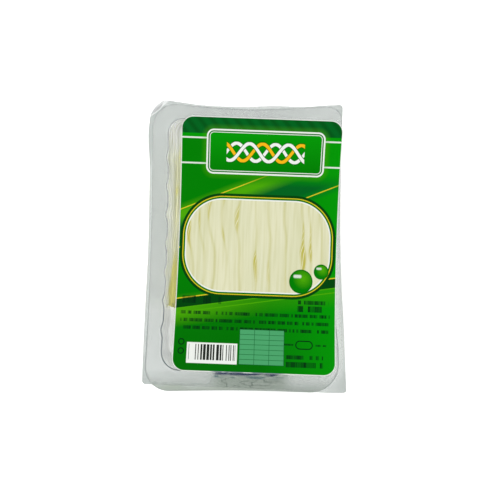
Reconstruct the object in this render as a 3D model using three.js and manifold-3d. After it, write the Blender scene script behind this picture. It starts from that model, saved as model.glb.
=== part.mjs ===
// Braided string cheese in a sealed clear tray: a thermoformed tray with a wide flat rim and
// fluted walls, three plaits of string cheese, a lid film with one corner bent down, and a label.
// Millimetres. X is to the right as the label reads, Y towards the label's top, +Z out of the lid.
// The origin is the middle of the whole pack's box, on the surface that the tray rests on.

import * as THREE from "three";
import { mergeVertices } from "three/addons/utils/BufferGeometryUtils.js";
import Module from "manifold-3d";

const wasm = await Module();
wasm.setup();

// ---- driving dimensions ----

const CLEARANCE = 0.3;

// The tray's rim, centred on X and Y zero until the whole pack is centred at the end. Here and in
// the cavity the corner radii are those of the top right, top left, bottom left and bottom right.
const RIM = { width: 131.6, length: 196.4, corners: [10, 17.5, 17.5, 20], lip: 1.8, bevel: 0.3 };

// How far the middle of each side is drawn inwards from a straight edge, and how far each long
// side leans in at its top end, and out at its bottom end.
const BOW = { side: 2, top: 3.1, bottom: 1.15, taper: 0.42 };

// What the rim has and the cavity hasn't: its bottom end is skewed, and its right side is pulled
// in between its corners.
const RIM_PULL = { skew: 0.7, right: 1.6, fade: [0.47, 0.72] };

// The flat seal flange between the rim's edge and the cavity's mouth.
const FLANGE = { side: 11.3, top: 10.6, bottom: 14, droop: 1.6 };

// The cavity: its walls lean in from the mouth to the floor, more at the ends than at the sides.
const TRAY = {
  height: 28,
  wall: 0.6,
  mouthCorners: [11, 11, 13, 13],
  floorCorner: 12,
  sideLean: 4,
  endLean: 7,
  fillet: 5,
};

// Upright flutes in both long walls, as shallow outward bulges.
const FLUTE = { count: 7, pitch: 19.6, halfWidth: 6.4, depth: 1.25, samples: 5 };

// The lid film's corners, given on the tray: the sheet is a little askew and overhangs the rim.
const FILM = {
  thickness: 0.3,
  corner: 2.4,
  bentCorner: 7,
  bottomLeft: [-67.1, -94.2],
  bottomRight: [70.8, -97.1],
  topRight: [65.4, 99],
  topLeft: [-65.2, 100.6],
  bow: { right: 2.9, top: 2.4 },
  curl: 0.5,
};

// The slack waves of the film's edges: how far in, where, and over what reach.
const SLACK = {
  left: [
    { depth: 0.8, middle: -6, reach: 36 },
    { depth: -2, middle: 77, reach: 17 },
  ],
  right: [{ depth: -0.8, middle: -55, reach: 32 }],
  top: [{ depth: 1.5, middle: -26, reach: 24 }],
  bottom: [{ depth: -0.6, middle: 57, reach: 12 }],
};

// The film's top left corner is bent down along a straight crease.
const CREASE = { cut: 10.5, angle: THREE.MathUtils.degToRad(58), roundness: 1.2 };

const LABEL = {
  width: 111.2,
  length: 174.4,
  thickness: 0.3,
  corner: 8.5,
  centre: [9.25, 1.75],
  turn: THREE.MathUtils.degToRad(-0.87),
  bow: { left: 1.4, right: 2 },
};

// Each plait is three ropes of strings, flattened by the pack. The left one is shorter.
const PLAIT = {
  spacing: 33.2,
  sway: 8.1,
  weave: 5.4,
  period: 62,
  ropeHalfWidth: 7.6,
  ropeHalfHeight: 6.9,
  middleHeight: 13.7,
  unevenness: 0.07,
  sides: 8,
  step: 6,
  top: 79,
  ends: [-42, -75, -72],
};

// The pressed mass inside the plaits, which the ropes are fused to.
const CORE = { halfHeight: 3.2, halfWidth: 7, overlap: 12 };

// A skein of loose strings along each long wall, pressed against an outer plait, narrower at the
// bottom end. The left one is shorter.
const SKEIN = {
  low: 15.5,
  high: 27,
  width: 12,
  narrow: 8.5,
  wallGap: 0.4,
  slant: 3,
  sides: 8,
  step: 7,
  top: 86.3,
  ends: [-41, -72],
};

const COLOURS = { tray: 0xd9dfdc, film: 0xe9eeec, label: 0x17801a, cheese: 0xebe6c4 };

// ---- mesh helpers ----

// A closed solid from rings of equally many points, capped flat on the first and the last ring.
function loft(rings) {
  const count = rings[0].length;
  const positions = rings.flat().flatMap((p) => [p.x, p.y, p.z]);
  const faces = [];
  for (let r = 0; r + 1 < rings.length; r++) {
    for (let i = 0; i < count; i++) {
      const next = (i + 1) % count;
      const [a, b] = [r * count + i, r * count + next];
      faces.push(a, b, b + count, a, b + count, a + count);
    }
  }
  const last = (rings.length - 1) * count;
  for (const [a, b, c] of capFaces(rings[0])) {
    faces.push(a, c, b);
  }
  for (const [a, b, c] of capFaces(rings[rings.length - 1])) {
    faces.push(last + a, last + b, last + c);
  }
  return closedGeometry(positions, faces);
}

// The triangles that fill a ring, which is flat or nearly so, in the ring's own turning sense.
function capFaces(ring) {
  const centre = ring.reduce((sum, p) => sum.add(p), new THREE.Vector3()).divideScalar(ring.length);
  const normal = new THREE.Vector3();
  ring.forEach((p, i) => {
    const q = ring[(i + 1) % ring.length];
    normal.add(p.clone().sub(centre).cross(q.clone().sub(centre)));
  });
  const turn = new THREE.Quaternion().setFromUnitVectors(normal.normalize(), new THREE.Vector3(0, 0, 1));
  const flat = ring.map((p) => p.clone().sub(centre).applyQuaternion(turn));
  return THREE.ShapeUtils.triangulateShape(flat.map((p) => new THREE.Vector2(p.x, p.y)), []);
}

// A thin sheet from rows of points for its upper face and as many for its lower face.
function sheet(rows, lowerRows) {
  const columns = rows[0].length;
  const size = rows.length * columns;
  const positions = [...rows.flat(), ...lowerRows.flat()].flatMap((p) => [p.x, p.y, p.z]);
  const faces = [];
  for (let r = 0; r + 1 < rows.length; r++) {
    for (let c = 0; c + 1 < columns; c++) {
      const a = r * columns + c;
      const [b, d, e] = [a + 1, a + columns, a + columns + 1];
      faces.push(a, b, e, a, e, d);
      faces.push(size + a, size + e, size + b, size + a, size + d, size + e);
    }
  }
  const edge = [];
  for (let c = 0; c < columns; c++) {
    edge.push(c);
  }
  for (let r = 1; r < rows.length; r++) {
    edge.push(r * columns + columns - 1);
  }
  for (let c = columns - 2; c >= 0; c--) {
    edge.push((rows.length - 1) * columns + c);
  }
  for (let r = rows.length - 2; r > 0; r--) {
    edge.push(r * columns);
  }
  edge.forEach((a, i) => {
    const b = edge[(i + 1) % edge.length];
    faces.push(a, size + a, size + b, a, size + b, b);
  });
  return closedGeometry(positions, faces);
}

function closedGeometry(positions, faces) {
  const geometry = new THREE.BufferGeometry();
  geometry.setAttribute("position", new THREE.Float32BufferAttribute(positions, 3));
  geometry.setIndex(faces);
  return geometry;
}

function toSolid(geometry) {
  const merged = mergeVertices(geometry.clone().deleteAttribute("normal").deleteAttribute("uv"), 1e-4);
  return new wasm.Manifold(
    new wasm.Mesh({
      numProp: 3,
      vertProperties: new Float32Array(merged.attributes.position.array),
      triVerts: new Uint32Array(merged.index.array),
    }),
  );
}

// The outer skin alone, so that no hollow is left between pieces that were fused.
function filled(solid) {
  const skins = solid.decompose();
  return skins.reduce((largest, skin) => (skin.volume() > largest.volume() ? skin : largest));
}

function fromSolid(solid) {
  const mesh = solid.getMesh();
  return closedGeometry(Array.from(mesh.vertProperties), Array.from(mesh.triVerts));
}

function piece(name, geometry, colour, finish) {
  const material = new THREE.MeshStandardMaterial({ color: colour, metalness: 0, ...finish });
  geometry.computeVertexNormals();
  const mesh = new THREE.Mesh(geometry, material);
  mesh.name = name;
  return mesh;
}

// ---- the tray ----

const INNER_DEPTH = TRAY.height - TRAY.wall;
const MOUTH = {
  halfWidth: RIM.width / 2 - FLANGE.side,
  top: RIM.length / 2 - FLANGE.top,
  bottom: -RIM.length / 2 + FLANGE.bottom,
};

// The lid's level: flat, but the wide flange at the bottom end droops towards its edge.
function lidLevel(y) {
  const past = Math.max(0, MOUTH.bottom - y) / FLANGE.bottom;
  return TRAY.height - FLANGE.droop * Math.min(past * past, 1.3);
}

// Places along a long side, measured from the mouth's middle, that the flutes need.
const FLUTE_PLACES = [];
for (let f = 0; f < FLUTE.count; f++) {
  for (let s = 0; s <= FLUTE.samples; s++) {
    const across = (2 * s) / FLUTE.samples - 1;
    FLUTE_PLACES.push((f - (FLUTE.count - 1) / 2) * FLUTE.pitch + across * FLUTE.halfWidth);
  }
}

function fluteBulge(place) {
  const nearest = Math.round(place / FLUTE.pitch) * FLUTE.pitch;
  const across = Math.min(1, Math.abs(place - nearest) / FLUTE.halfWidth);
  return FLUTE.depth * Math.cos((across * Math.PI) / 2) ** 2;
}

const CORNER_STEPS = 6;
const END_STEPS = 6;

// How far a long side is drawn in, at a place from -1 at its bottom end to 1 at its top end.
function sideInset(place, bow = 1) {
  return BOW.side * bow * Math.max(0, 1 - place * place) + BOW.taper * place;
}

// How far an end is drawn in, from -1 to 1 across it. Its place is positive for the top end.
function endInset(across, place, bow = 1) {
  const depth = place > 0 ? BOW.top : BOW.bottom;
  return depth * bow * Math.max(0, 1 - across * across) ** 2;
}

function rimPull(place) {
  const [near, far] = RIM_PULL.fade;
  return RIM_PULL.right * (1 - THREE.MathUtils.smoothstep(Math.abs(place), near, far));
}

// A rounded rectangle whose sides are drawn in by the bow, anticlockwise from above.
function trayRing({ halfWidth, top, bottom, corners, bow = 1, flute = 0, isRim = false }, level) {
  const middle = (top + bottom) / 2;
  const halfLength = (top - bottom) / 2;
  const [topRight, topLeft, bottomLeft, bottomRight] = corners;
  const points = [];
  const add = (x, y) => {
    const place = (y - middle) / halfLength;
    const across = x / halfWidth;
    const pulled = isRim && x > 0 ? rimPull(place) : 0;
    const skewed = isRim && place < 0 ? RIM_PULL.skew * across : 0;
    const px = x - (sideInset(place, bow) + pulled) * across;
    const py = y - (endInset(across, place, bow) + skewed) * place;
    points.push(new THREE.Vector3(px, py, level(py)));
  };
  const addCorner = (radius, right, up, quarter) => {
    for (let i = 1; i < CORNER_STEPS; i++) {
      const angle = (Math.PI / 2) * (quarter + i / CORNER_STEPS);
      const x = right * (halfWidth - radius) + radius * Math.cos(angle);
      add(x, middle + up * (halfLength - radius) + radius * Math.sin(angle));
    }
  };
  const addSide = (right, places) => {
    for (const place of places) {
      add(right * (halfWidth + flute * fluteBulge(place)), middle + place);
    }
  };
  const addEnd = (y, from, to) => {
    for (let i = 0; i <= END_STEPS; i++) {
      add(from + ((to - from) * i) / END_STEPS, y);
    }
  };
  addSide(1, [bottomRight - halfLength, ...FLUTE_PLACES, halfLength - topRight]);
  addCorner(topRight, 1, 1, 0);
  addEnd(top, halfWidth - topRight, topLeft - halfWidth);
  addCorner(topLeft, -1, 1, 1);
  addSide(-1, [halfLength - topLeft, ...FLUTE_PLACES.toReversed(), bottomLeft - halfLength]);
  addCorner(bottomLeft, -1, -1, 2);
  addEnd(bottom, bottomLeft - halfWidth, halfWidth - bottomRight);
  addCorner(bottomRight, 1, -1, 3);
  return points;
}

// The cavity's wall at a depth below the mouth. The slope is the face's angle from upright, and
// outwards moves the ring along the face's normal, to the wall's outer skin.
function wallRing({ depth, roundIn = 0, slope = 0 }, outwards) {
  const share = depth / INNER_DEPTH;
  const sideways = outwards * Math.cos(slope);
  const side = TRAY.sideLean * share + roundIn - sideways;
  const end = TRAY.endLean * share + roundIn - sideways;
  const corners = TRAY.mouthCorners.map(
    (corner) => THREE.MathUtils.lerp(corner, TRAY.floorCorner, share) - roundIn + sideways,
  );
  const z = TRAY.height - depth - outwards * Math.sin(slope);
  return trayRing(
    {
      halfWidth: MOUTH.halfWidth - side,
      top: MOUTH.top - end,
      bottom: MOUTH.bottom + end,
      corners,
      bow: 1 - share / 2,
      flute: Math.cos(slope) * (1 - 0.5 * share),
    },
    () => z,
  );
}

// Depths down the wall, and then round the fillet to the floor.
function wallStations() {
  const filletTop = INNER_DEPTH - TRAY.fillet;
  const stations = [0.9, 11].map((depth) => ({ depth }));
  const filletSteps = 3;
  for (let i = 0; i <= filletSteps; i++) {
    const slope = ((Math.PI / 2) * i) / filletSteps;
    stations.push({
      depth: filletTop + TRAY.fillet * Math.sin(slope),
      roundIn: TRAY.fillet * (1 - Math.cos(slope)),
      slope,
    });
  }
  return stations;
}

function rimRing(inset, drop) {
  const outline = {
    halfWidth: RIM.width / 2 - inset,
    top: RIM.length / 2 - inset,
    bottom: -RIM.length / 2 + inset,
    corners: RIM.corners.map((corner) => corner - inset),
    isRim: true,
  };
  return trayRing(outline, (y) => lidLevel(y) - drop);
}

function mouthRing(outwards, drop) {
  const outline = {
    halfWidth: MOUTH.halfWidth + outwards,
    top: MOUTH.top + outwards,
    bottom: MOUTH.bottom - outwards,
    corners: TRAY.mouthCorners.map((corner) => corner + outwards),
    flute: 1,
  };
  return trayRing(outline, (y) => lidLevel(y) - drop);
}

function makeTray() {
  const stations = wallStations();
  const underside = stations.toReversed().map((station) => wallRing(station, TRAY.wall));
  const inside = stations.map((station) => wallRing(station, 0));
  const rim = [
    mouthRing(TRAY.wall, TRAY.wall + 0.4),
    rimRing(TRAY.wall, TRAY.wall),
    rimRing(TRAY.wall, RIM.lip),
    rimRing(0, RIM.lip),
    rimRing(0, RIM.bevel),
    rimRing(RIM.bevel, 0),
    mouthRing(0.5, 0),
  ];
  return loft([...underside, ...rim, ...inside]);
}

// ---- the lid film and the label ----

const FILM_LEVEL = CLEARANCE + FILM.thickness;
const LABEL_LEVEL = FILM_LEVEL + CLEARANCE + LABEL.thickness;

// Distances along an edge: the given ones from its start and from its end, and even steps between.
function placesAlong(length, fromStart, fromEnd, middleStep) {
  const first = fromStart[fromStart.length - 1];
  const last = length - fromEnd[fromEnd.length - 1];
  const steps = Math.round((last - first) / middleStep);
  const places = [...fromStart];
  for (let i = 1; i < steps; i++) {
    places.push(first + ((last - first) * i) / steps);
  }
  return [...places, ...fromEnd.map((distance) => length - distance).toReversed()];
}

// Distances from a sheet's end that follow its rounded corner.
function cornerPlaces(radius) {
  const steps = 4;
  return Array.from({ length: steps + 1 }, (_, i) => radius * (1 - Math.cos((Math.PI * i) / (2 * steps))));
}

// How far a rounded corner draws an edge in, at a distance from the sheet's end.
function cornerInset(distance, radius) {
  const within = Math.max(0, radius - distance);
  return radius - Math.sqrt(radius * radius - within * within);
}

// A point of the film before it is bent, from its shares across and up the sheet, and from how
// far its left and right edges are drawn in there.
function filmPoint(across, up, left, right) {
  const { bottomLeft, bottomRight, topRight, topLeft, bow } = FILM;
  const width = bottomRight[0] - bottomLeft[0];
  const share = left / width + across * (1 - (left + right) / width);
  const mix = (from, to, t) => from + (to - from) * t;
  const corner = (i) =>
    mix(mix(bottomLeft[i], bottomRight[i], share), mix(topLeft[i], topRight[i], share), up);
  const [alongSide, alongEnd] = [4 * up * (1 - up), 4 * across * (1 - across)];
  const x = corner(0) - alongSide * bow.right * across;
  const y = corner(1) - alongEnd * bow.top * up;
  return new THREE.Vector3(
    x + slack("left", y) * (1 - across) ** 8 - slack("right", y) * across ** 8,
    y + slack("bottom", x) * (1 - up) ** 8 - slack("top", x) * up ** 8,
    0,
  );
}

function slack(edge, along) {
  return SLACK[edge].reduce(
    (sum, { depth, middle, reach }) => sum + depth * Math.exp(-(((along - middle) / reach) ** 2)),
    0,
  );
}

// Outside the rim the free film waves up and down a little.
function freeEdgeWave(p) {
  const side = RIM.width / 2 - sideInset(p.y / (RIM.length / 2));
  const past = Math.max(Math.abs(p.x) - side, Math.abs(p.y) - RIM.length / 2, 0);
  return FILM.curl * Math.min(1, past / 2) * Math.sin(p.x / 7 + p.y / 11);
}

// Beyond the crease the film turns down through the crease's angle, round a small radius. The
// point is given on the film's upper face, and moved to a depth below that face.
function bendCorner(p, depth) {
  const [left, top] = FILM.topLeft;
  const outward = new THREE.Vector2(-1, 1).normalize();
  const creaseAt = new THREE.Vector2(left, top).dot(outward) - CREASE.cut / Math.SQRT2;
  const past = Math.max(0, new THREE.Vector2(p.x, p.y).dot(outward) - creaseAt);
  const { angle, roundness } = CREASE;
  const turned = Math.min(past / roundness, angle);
  const straight = Math.max(0, past - roundness * angle);
  const out = (roundness - depth) * Math.sin(turned) + straight * Math.cos(angle);
  const down =
    roundness * (1 - Math.cos(turned)) + straight * Math.sin(angle) + depth * Math.cos(turned);
  return p.clone().add(new THREE.Vector3(outward.x * (out - past), outward.y * (out - past), -down));
}

function makeFilm() {
  const width = FILM.bottomRight[0] - FILM.bottomLeft[0];
  const length = FILM.topLeft[1] - FILM.bottomLeft[1];
  const round = cornerPlaces(FILM.corner);
  const bent = [4.4, 6.4, 8.4, 10.4, 14];
  const columns = placesAlong(width, [0, FILM.corner, ...bent], [0, FILM.corner, 7], 25);
  const rows = placesAlong(length, [...round, 8, FLANGE.bottom], [...round, ...bent, 24], 25);
  const face = (depth) =>
    rows.map((distance) => {
      const [low, high] = [distance, length - distance];
      const left = cornerInset(low, FILM.corner) + cornerInset(high, FILM.bentCorner);
      const right = cornerInset(Math.min(low, high), FILM.corner);
      return columns.map((place) => {
        const p = filmPoint(place / width, distance / length, left, right);
        p.z = lidLevel(p.y) + FILM_LEVEL + freeEdgeWave(p);
        return bendCorner(p, depth);
      });
    });
  return sheet(face(0), face(FILM.thickness));
}

function makeLabel() {
  const { width, length, corner, centre, turn, bow } = LABEL;
  const round = cornerPlaces(corner);
  const rows = placesAlong(length, round, round, 20).map((distance) => {
    const up = distance / length;
    const drawnIn = 4 * up * (1 - up);
    const inset = cornerInset(Math.min(distance, length - distance), corner);
    const left = -width / 2 + inset + bow.left * drawnIn;
    const right = width / 2 - inset - bow.right * drawnIn;
    return [0, 0.25, 0.5, 0.75, 1].map((across) => {
      const x = left + (right - left) * across;
      const y = distance - length / 2;
      const px = centre[0] + x * Math.cos(turn) - y * Math.sin(turn);
      const py = centre[1] + x * Math.sin(turn) + y * Math.cos(turn);
      return new THREE.Vector3(px, py, lidLevel(py) + LABEL_LEVEL);
    });
  });
  const lower = rows.map((row) => row.map((p) => p.clone().setZ(p.z - LABEL.thickness)));
  return sheet(rows, lower);
}

// ---- the cheese ----

// How full a strand is at a place between its two rounded ends, which are as long as the reach.
function fullness(along, length, reach) {
  const fromEnd = Math.min(1, Math.min(along, length - along) / reach);
  return Math.sqrt(1 - (1 - fromEnd) ** 2 * 0.8);
}

// One rope of a plait, from its top end to its bottom end.
function makeRope(plait, rope) {
  const middle = (plait - 1) * PLAIT.spacing;
  const length = PLAIT.top - PLAIT.ends[plait];
  const steps = Math.round(length / PLAIT.step);
  const rings = [];
  for (let i = 0; i <= steps; i++) {
    const along = (length * i) / steps;
    const phase = 2 * Math.PI * (along / PLAIT.period + rope / 3 + plait * 0.21);
    const uneven = 1 + PLAIT.unevenness * Math.sin(along / 9 + rope * 2.1 + plait * 1.3);
    const full = fullness(along, length, 2 * PLAIT.step);
    const centre = new THREE.Vector3(
      middle + PLAIT.sway * Math.sin(phase) * (0.4 + 0.6 * full),
      PLAIT.top - along,
      PLAIT.middleHeight + PLAIT.weave * Math.sin(2 * phase) * full,
    );
    const ring = [];
    for (let s = 0; s < PLAIT.sides; s++) {
      const angle = (2 * Math.PI * (s + 0.5)) / PLAIT.sides;
      const x = PLAIT.ropeHalfWidth * Math.cos(angle) * uneven * full;
      const z = PLAIT.ropeHalfHeight * Math.sin(angle) * uneven * full;
      ring.push(centre.clone().add(new THREE.Vector3(x, 0, z)));
    }
    rings.push(ring);
  }
  return loft(rings);
}

// The distance of a long wall's inner face from the middle, between the flutes.
function wallPlace(y, z) {
  const share = (TRAY.height - z) / INNER_DEPTH;
  const halfLength = (MOUTH.top - MOUTH.bottom) / 2;
  const place = y - (MOUTH.top + MOUTH.bottom) / 2;
  const inset = sideInset(place / halfLength, 1 - share / 2);
  const fromEnd = Math.max(halfLength - TRAY.endLean * share - Math.abs(place), 0);
  const corner = cornerInset(fromEnd, Math.max(...TRAY.mouthCorners));
  return MOUTH.halfWidth - TRAY.sideLean * share - inset - corner;
}

// Shares inward from the wall and upward, round a skein's softly squared outline.
function skeinOutline() {
  const soften = (share) => 0.5 + 0.5 * Math.sign(share) * Math.abs(share) ** 0.4;
  return Array.from({ length: SKEIN.sides }, (_, i) => {
    const angle = (2 * Math.PI * (i + 0.5)) / SKEIN.sides;
    return [soften(-Math.cos(angle)), soften(Math.sin(angle))];
  });
}

// The skein along the left wall, with side -1, or along the right wall, with side 1.
function makeSkein(side) {
  const end = SKEIN.ends[side < 0 ? 0 : 1];
  const length = SKEIN.top - end;
  const steps = Math.round(length / SKEIN.step);
  const outline = side < 0 ? skeinOutline().toReversed() : skeinOutline();
  const rings = [];
  for (let i = 0; i <= steps; i++) {
    const along = (length * i) / steps;
    const full = fullness(along, length, SKEIN.step);
    const width = THREE.MathUtils.mapLinear(along, 0, length, SKEIN.width, SKEIN.narrow);
    const ring = outline.map(([inward, upward]) => {
      const [across, rise] = [inward, upward].map((share) => 0.5 + (share - 0.5) * full);
      const y = SKEIN.top - along - SKEIN.slant * (1 - rise);
      const z = THREE.MathUtils.lerp(SKEIN.low, SKEIN.high, rise);
      return new THREE.Vector3(side * (wallPlace(y, z) - SKEIN.wallGap - across * width), y, z);
    });
    rings.push(ring);
  }
  return loft(rings);
}

function makeCheese() {
  let cheese = toSolid(makeSkein(-1)).add(toSolid(makeSkein(1)));
  PLAIT.ends.forEach((end, plait) => {
    const bottom = end + CORE.overlap;
    const top = PLAIT.top - CORE.overlap;
    const core = new THREE.BoxGeometry(2 * CORE.halfWidth, top - bottom, 2 * CORE.halfHeight);
    core.translate((plait - 1) * PLAIT.spacing, (top + bottom) / 2, PLAIT.middleHeight);
    const ropes = [0, 1, 2].map((rope) => toSolid(makeRope(plait, rope)));
    const whole = ropes.reduce((sum, rope) => sum.add(rope), toSolid(core));
    cheese = cheese.add(whole);
  });
  // Strings pressed across between neighbouring plaits hold them together.
  const bottom = PLAIT.ends[0] + CORE.overlap;
  const top = PLAIT.top - CORE.overlap;
  const bridge = new THREE.BoxGeometry(2 * PLAIT.spacing, top - bottom, CORE.halfHeight);
  bridge.translate(0, (top + bottom) / 2, PLAIT.middleHeight);
  return fromSolid(filled(cheese.add(toSolid(bridge))));
}

// ---- the pack ----

const pack = new THREE.Group();
pack.add(
  piece("tray", makeTray(), COLOURS.tray, { roughness: 0.12, transparent: true, opacity: 0.35 }),
  piece("cheese", makeCheese(), COLOURS.cheese, { roughness: 0.55 }),
  piece("lid_film", makeFilm(), COLOURS.film, { roughness: 0.1, transparent: true, opacity: 0.25 }),
  piece("label", makeLabel(), COLOURS.label, { roughness: 0.35 }),
);

const box = new THREE.Box3().setFromObject(pack);
const middle = box.getCenter(new THREE.Vector3());
pack.position.set(-middle.x, -middle.y, -box.min.z);

const root = new THREE.Group();
root.add(pack);

export default root;
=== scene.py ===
"""Looks of a tray pack of braided string cheese: clear tray, plaits of strings, lid film and label.

The frame is in metres. Sizes and points in millimetres are in the tray's own axes, whose origin is the
middle of its rim's rectangle, on the ground, and pack_points moves them into the frame.
"""

import math
import random

import bpy
import numpy as np
from mathutils import Matrix, Vector


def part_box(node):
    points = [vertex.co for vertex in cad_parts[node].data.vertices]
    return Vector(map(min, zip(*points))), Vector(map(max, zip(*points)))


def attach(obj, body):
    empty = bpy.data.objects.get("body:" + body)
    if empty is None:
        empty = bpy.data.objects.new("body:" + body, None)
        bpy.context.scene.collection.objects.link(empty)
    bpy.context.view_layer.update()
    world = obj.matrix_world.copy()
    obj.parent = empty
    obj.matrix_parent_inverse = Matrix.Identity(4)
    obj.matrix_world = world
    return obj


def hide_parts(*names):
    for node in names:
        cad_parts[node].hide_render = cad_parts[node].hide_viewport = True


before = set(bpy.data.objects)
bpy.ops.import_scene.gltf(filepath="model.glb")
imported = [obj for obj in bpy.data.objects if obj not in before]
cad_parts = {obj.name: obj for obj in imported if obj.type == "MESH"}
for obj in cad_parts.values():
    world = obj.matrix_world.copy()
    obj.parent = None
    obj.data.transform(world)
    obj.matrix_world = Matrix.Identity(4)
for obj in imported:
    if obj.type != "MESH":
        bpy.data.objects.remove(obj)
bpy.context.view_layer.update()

MM = 0.001
SEED = 7

# ---- sizes in millimetres: those of the solids, but for thinner sheets and small trims ----

# Corner radii go round from the top right corner: top right, top left, bottom left, bottom right.
RIM = dict(width=131.6, length=196.4, corners=(10, 17.5, 17.5, 20), lip=1.8)
BOW = dict(side=2.0, top=3.1, bottom=1.15, taper=0.42)
# What the rim has and the cavity hasn't: its bottom end is skewed, and its right side pulled in.
RIM_PULL = dict(skew=0.7, right=1.6, near=0.47, far=0.72)
FLANGE = dict(side=11.3, top=10.6, bottom=14, droop=1.6)
TRAY = dict(
    height=28, wall=0.5, mouth_corners=(11, 11, 13, 13), floor_corner=12, side_lean=4, end_lean=7, fillet=5
)
FLUTE = dict(count=7, pitch=19.6, half_width=6.4, depth=1.25)
# The cavity is as deep as in the solids, whose wall is a little thicker.
SOLID_WALL = 0.6
INNER_DEPTH = TRAY["height"] - SOLID_WALL
MOUTH = dict(
    half_width=RIM["width"] / 2 - FLANGE["side"],
    top=RIM["length"] / 2 - FLANGE["top"],
    bottom=-RIM["length"] / 2 + FLANGE["bottom"],
)
# The film's left and right corners at its bottom and at its top, then the rest of its sizes.
FILM = dict(
    bottom=((-67.1, -94.2), (70.79, -97.1)), top=((-65.2, 100.57), (65.4, 99.0)),
    thickness=0.1, corner=2.4, bent_corner=7.0, bow_right=2.9, bow_top=2.4,
)
# Slack waves of the film's edges: inward depth, middle and reach along the edge.
SLACK = dict(
    left=((0.8, -6, 36), (-1.96, 77, 17)),
    right=((-0.8, -55, 32),),
    top=((1.5, -26, 24), (0.45, -1, 12), (-0.4, 17, 13), (0.45, 38, 12), (-0.35, 57, 10)),
    bottom=((-0.6, 57, 12),),
)
CREASE = dict(cut=10.5, angle=math.radians(58), roundness=1.2)
# The film's upper side lies this far over the lid's plane, and the label this far over the film.
FILM_RISE, LABEL_GAP = 0.2, 0.03
LABEL = dict(
    width=111.2, length=174.4, thickness=0.1, corner=8.5, centre=(9.25, 1.75),
    turn=math.radians(-0.87), left_bow=1.4, right_bow=2.0,
)
PLAIT = dict(
    spacing=33.2, sway=8.1, weave=5.4, period=62, half_width=7.6, half_height=6.5,
    middle_height=13.7, top=79, ends=(-42, -75, -72), unevenness=0.07, offset=0.21,
)
SKEIN = dict(
    low=15.5, high=27.1, width=12, narrow=8.5, count=60, inner=12, radius=0.95, top=87.0, ends=(-40.5, -72)
)


def pack_points(points):
    """Points in millimetres in the tray's axes, as frame points in metres."""
    return np.asarray(points, float) * MM + np.array(TRAY_MIDDLE)


# ---- meshes ----


def add_object(name, data):
    added = bpy.data.objects.new(name, data)
    bpy.context.collection.objects.link(added)
    return added


def make_object(name, vertices, faces, material, smooth=True):
    mesh = bpy.data.meshes.new(name)
    mesh.from_pydata(np.asarray(vertices).tolist(), [], faces)
    mesh.validate()
    mesh.materials.append(material)
    mesh.polygons.foreach_set("use_smooth", [smooth] * len(mesh.polygons))
    mesh.update()
    return add_object(name, mesh)


def loft_faces(rings, count, first=0):
    """Quads between closed rings of count points, and a cap on the first and the last ring."""
    faces = []
    for r in range(rings - 1):
        a = first + r * count
        for i in range(count):
            j = (i + 1) % count
            faces.append((a + i, a + j, a + count + j, a + count + i))
    last = first + (rings - 1) * count
    faces.append(tuple(range(first + count - 1, first - 1, -1)))
    faces.append(tuple(range(last, last + count)))
    return faces


def sheet(upper, lower):
    """Vertices and faces of a thin closed sheet, from the grids of points on its two sides."""
    rows, columns, _ = upper.shape
    size = rows * columns
    index = np.arange(size).reshape(rows, columns)
    a, b = index[:-1, :-1].ravel(), index[:-1, 1:].ravel()
    c, d = index[1:, 1:].ravel(), index[1:, :-1].ravel()
    faces = np.stack([a, b, c, d], 1).tolist()
    faces += (np.stack([a, d, c, b], 1) + size).tolist()
    edge = np.concatenate([index[0, :], index[1:, -1], index[-1, -2::-1], index[-2:0:-1, 0]])
    following = np.roll(edge, -1)
    faces += np.stack([edge, edge + size, following + size, following], 1).tolist()
    return np.concatenate([upper.reshape(-1, 3), lower.reshape(-1, 3)]), faces


def smooth_step(x):
    x = np.clip(x, 0, 1)
    return x * x * (3 - 2 * x)


# ---- materials ----


class Field:
    """A number that varies over a surface: the output of a shader node, with plain arithmetic."""

    def __init__(self, paint, socket):
        self.paint = paint
        self.socket = socket

    def __add__(self, other):
        return self.paint.math("ADD", self, other)

    def __sub__(self, other):
        return self.paint.math("SUBTRACT", self, other)

    def __mul__(self, other):
        return self.paint.math("MULTIPLY", self, other)

    def __truediv__(self, other):
        return self.paint.math("DIVIDE", self, other)

    def __rsub__(self, other):
        return self.paint.math("SUBTRACT", other, self)

    def __abs__(self):
        return self.paint.math("ABSOLUTE", self)


class Nodes:
    """The shader nodes of a material or a world."""

    def __init__(self, owner):
        owner.use_nodes = True
        self.nodes, self.links = owner.node_tree.nodes, owner.node_tree.links

    def node(self, kind, inputs=None, **settings):
        made = self.nodes.new(kind)
        for key, value in settings.items():
            setattr(made, key, value)
        for key, value in (inputs or {}).items():
            self.feed(made.inputs[key], value)
        return made

    def feed(self, socket, value):
        if isinstance(value, Field):
            value = value.socket
        if isinstance(value, bpy.types.NodeSocket):
            self.links.new(value, socket)
        else:
            socket.default_value = value


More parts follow.
